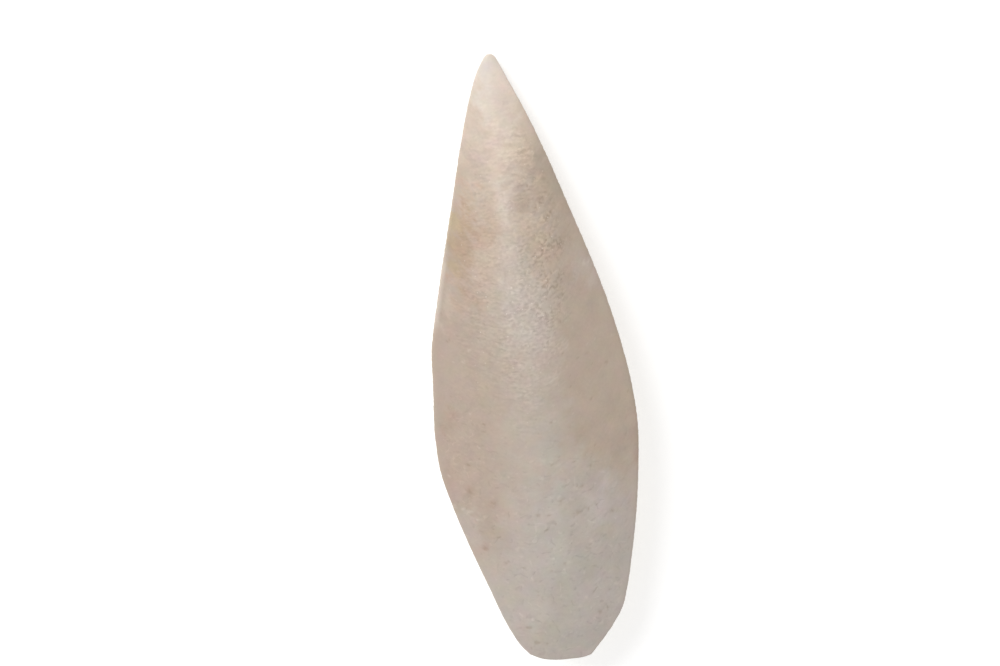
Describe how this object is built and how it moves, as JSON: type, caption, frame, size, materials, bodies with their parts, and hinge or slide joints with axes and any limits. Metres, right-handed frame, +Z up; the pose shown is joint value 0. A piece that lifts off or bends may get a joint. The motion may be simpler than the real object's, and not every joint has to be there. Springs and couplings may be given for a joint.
{
  "type": "cuttlebone",
  "caption": "Pointed oval cuttlebone with a finely wrinkled, ribbed shield above, a smooth and stepped chambered body below, and a broken front corner.",
  "frame": {"origin": "on the supporting surface, under the middle of the shell's bounding box", "axes": "+Z up, out of the granular shield; +Y along the shell towards the pointed hind end; +X to the right seen from above"},
  "size_m": [0.05, 0.15, 0.0192],
  "materials": {
    "shell": "matte"
  },
  "bodies": {
    "root": {"cuttlebone": "shell"}
  },
  "joints": []
}
